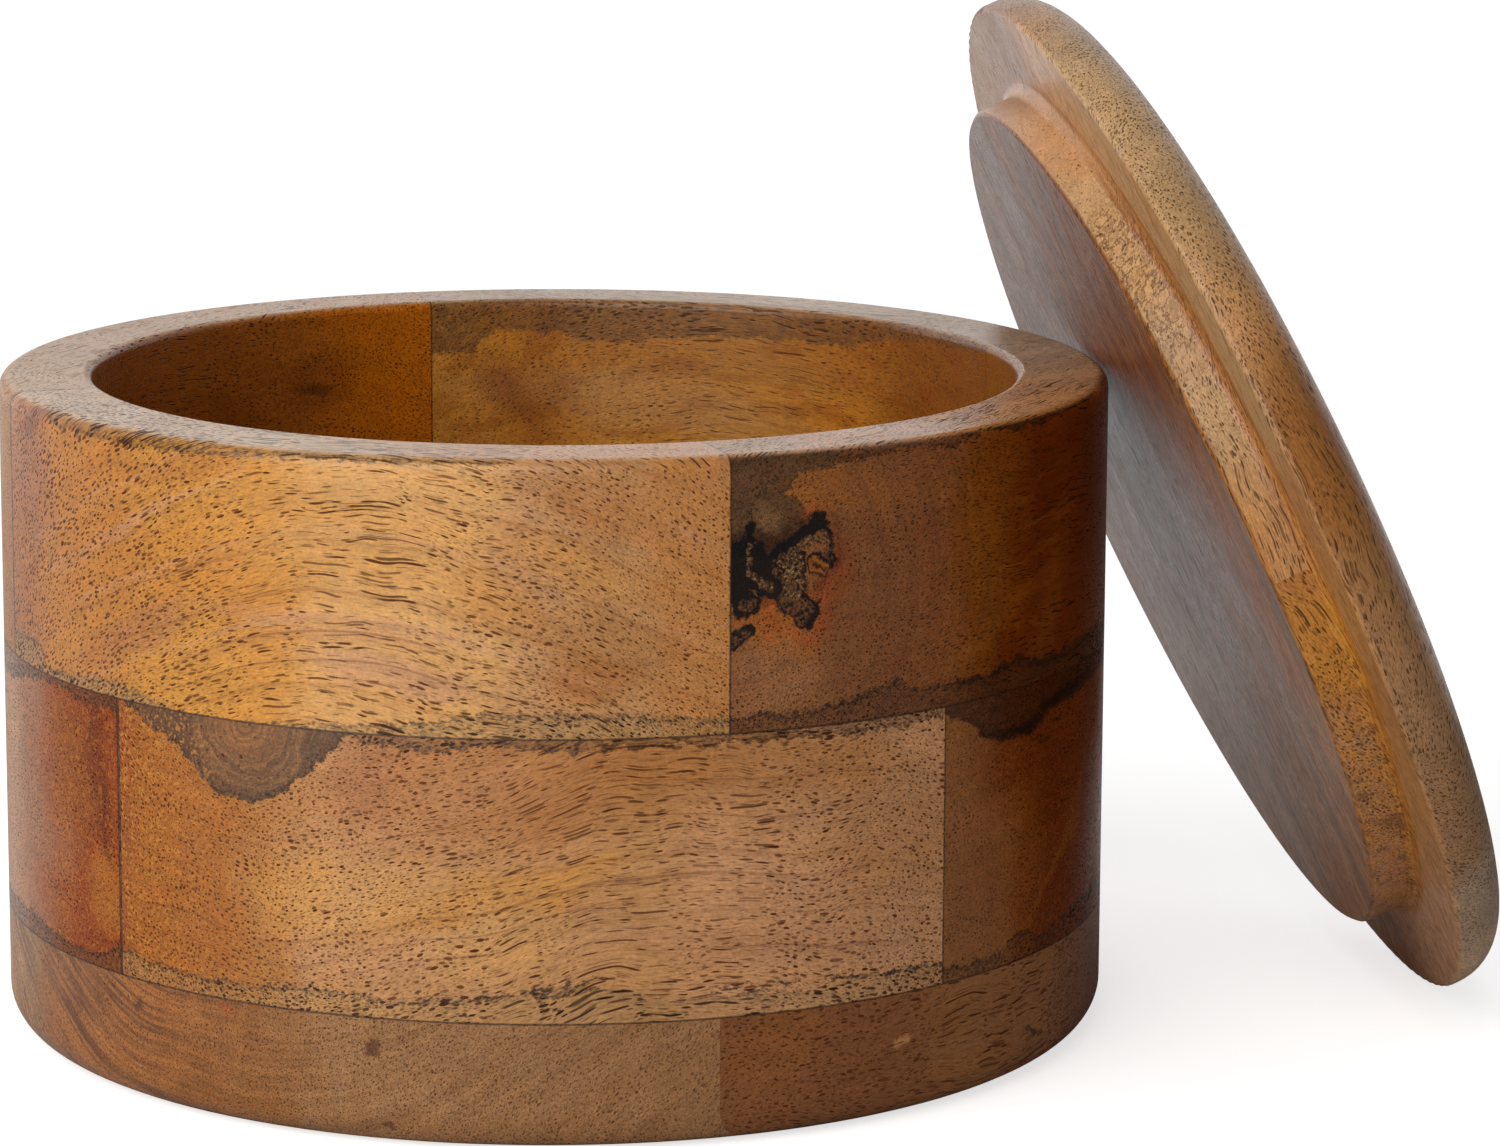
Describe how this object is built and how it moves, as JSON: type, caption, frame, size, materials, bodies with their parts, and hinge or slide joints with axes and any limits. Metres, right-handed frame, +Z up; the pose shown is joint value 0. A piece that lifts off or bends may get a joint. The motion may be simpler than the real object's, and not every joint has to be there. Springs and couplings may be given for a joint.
{
  "type": "wooden firkin",
  "caption": "Small round wooden pot turned from glued blocks on a board base, with its loose spigoted lid leaning against the rim.",
  "frame": {"origin": "centre of the pot's flat underside, on the surface that it stands on", "axes": "+Z up along the pot's axis, -Y towards the front, +X towards the side that the lid leans on"},
  "size_m": [0.1488, 0.1177, 0.1011],
  "materials": {
    "golden_wood": "oiled, satin sheen, open pores",
    "reddish_wood": "oiled, satin sheen, open pores",
    "brown_wood": "oiled, satin sheen, open pores"
  },
  "bodies": {
    "pot": {"top_right_block": "reddish_wood", "top_back_block": "golden_wood", "top_left_block": "reddish_wood", "top_front_block": "golden_wood", "middle_right_block": "reddish_wood", "middle_back_block": "brown_wood", "middle_left_block": "reddish_wood", "middle_front_block": "golden_wood", "base_wide_board": "brown_wood", "base_narrow_board": "reddish_wood"},
    "lid": {"lid_wide_board": "brown_wood", "lid_narrow_board": "golden_wood"}
  },
  "joints": [
    {"name": "lid_lift", "type": "slide", "parent": "pot", "child": "lid", "axis": [0, 0, 1], "range_m": [0, 0.07]}
  ]
}
